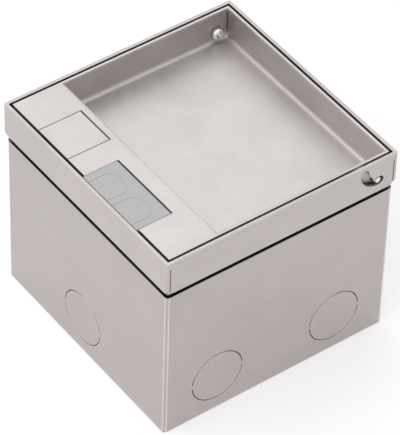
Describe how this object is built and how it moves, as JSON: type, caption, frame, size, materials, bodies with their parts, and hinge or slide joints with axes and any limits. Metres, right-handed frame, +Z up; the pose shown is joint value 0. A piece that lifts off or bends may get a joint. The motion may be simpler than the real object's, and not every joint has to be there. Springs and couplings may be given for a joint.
{
  "type": "floor socket box",
  "caption": "Square stainless steel floor socket box with a height-adjustable frame, a hinged recessed lid, a metal cable flap and a grey plastic cord outlet.",
  "frame": {"origin": "centre of the underside", "axes": "+Z up, -Y towards the cord outlets at the front, +X towards the right-hand side"},
  "size_m": [0.146, 0.146, 0.124],
  "materials": {
    "brushed_stainless": "brushed, fine grain",
    "zinc_sheet": "galvanised, dull",
    "zinc_fasteners": "bright zinc",
    "grey_plastic": "fine matte texture",
    "white_plastic": "satin",
    "dark_insulator": "moulded",
    "black_plastic": "moulded",
    "black_rubber": "foam strip",
    "brass": "plain"
  },
  "bodies": {
    "casing": {"box_walls": "brushed_stainless", "base_plate": "brushed_stainless", "levelling_brackets": "zinc_sheet", "rivet_nuts": "zinc_fasteners", "earth_stud": "zinc_fasteners", "earth_washer": "zinc_fasteners", "earth_nut": "zinc_fasteners"},
    "frame": {"top_frame": "brushed_stainless", "ledge_frame": "zinc_sheet", "lid_seal": "black_rubber", "socket_carrier": "zinc_sheet", "carrier_screws": "zinc_fasteners", "carrier_nuts": "zinc_fasteners", "cable_clamp": "zinc_sheet", "clamp_screws": "zinc_fasteners", "socket_cover_left": "white_plastic", "socket_base_left": "dark_insulator", "contact_sleeves_left": "brass", "earth_clip_left": "brass", "terminal_screws_left": "zinc_fasteners", "socket_cover_right": "white_plastic", "socket_base_right": "dark_insulator", "contact_sleeves_right": "brass", "earth_clip_right": "brass", "terminal_screws_right": "zinc_fasteners"},
    "lid": {"lid_tray": "brushed_stainless", "hinge_screws": "zinc_fasteners", "hinge_washers": "black_plastic", "flap_bracket": "brushed_stainless", "flap_pin": "zinc_fasteners", "outlet_insert": "grey_plastic"},
    "flap": {"outlet_flap": "brushed_stainless"},
    "levelling_front_left": {"levelling_screw_front_left": "zinc_fasteners", "support_nut_front_left": "zinc_fasteners"},
    "levelling_front_right": {"levelling_screw_front_right": "zinc_fasteners", "support_nut_front_right": "zinc_fasteners"},
    "levelling_back_left": {"levelling_screw_back_left": "zinc_fasteners", "support_nut_back_left": "zinc_fasteners"},
    "levelling_back_right": {"levelling_screw_back_right": "zinc_fasteners", "support_nut_back_right": "zinc_fasteners"}
  },
  "joints": [
    {"name": "frame_lift", "type": "slide", "parent": "casing", "child": "frame", "axis": [0, 0, 1], "range_m": [0, 0.015]},
    {"name": "lid_hinge", "type": "hinge", "parent": "frame", "child": "lid", "pos_m": [0, 0.061, 0.1198], "axis": [-1, 0, 0], "range_deg": [0, 80]},
    {"name": "flap_hinge", "type": "hinge", "parent": "lid", "child": "flap", "pos_m": [-0.0324, -0.0483, 0.1214], "axis": [-1, 0, 0], "range_deg": [0, 90]},
    {"name": "screw_turn_front_left", "type": "hinge", "parent": "frame", "child": "levelling_front_left", "pos_m": [-0.0635, -0.0635, 0.102], "axis": [0, 0, 1], "range_deg": [-5, 6755]},
    {"name": "screw_turn_front_right", "type": "hinge", "parent": "frame", "child": "levelling_front_right", "pos_m": [0.0635, -0.0635, 0.102], "axis": [0, 0, 1], "range_deg": [-5, 6755]},
    {"name": "screw_turn_back_left", "type": "hinge", "parent": "frame", "child": "levelling_back_left", "pos_m": [-0.0635, 0.0635, 0.102], "axis": [0, 0, 1], "range_deg": [-5, 6755]},
    {"name": "screw_turn_back_right", "type": "hinge", "parent": "frame", "child": "levelling_back_right", "pos_m": [0.0635, 0.0635, 0.102], "axis": [0, 0, 1], "range_deg": [-5, 6755]}
  ],
  "couplings": [
    {"joint": "screw_turn_front_left", "follows": "frame_lift", "rad_per_m": 7854},
    {"joint": "screw_turn_front_right", "follows": "frame_lift", "rad_per_m": 7854},
    {"joint": "screw_turn_back_left", "follows": "frame_lift", "rad_per_m": 7854},
    {"joint": "screw_turn_back_right", "follows": "frame_lift", "rad_per_m": 7854}
  ]
}
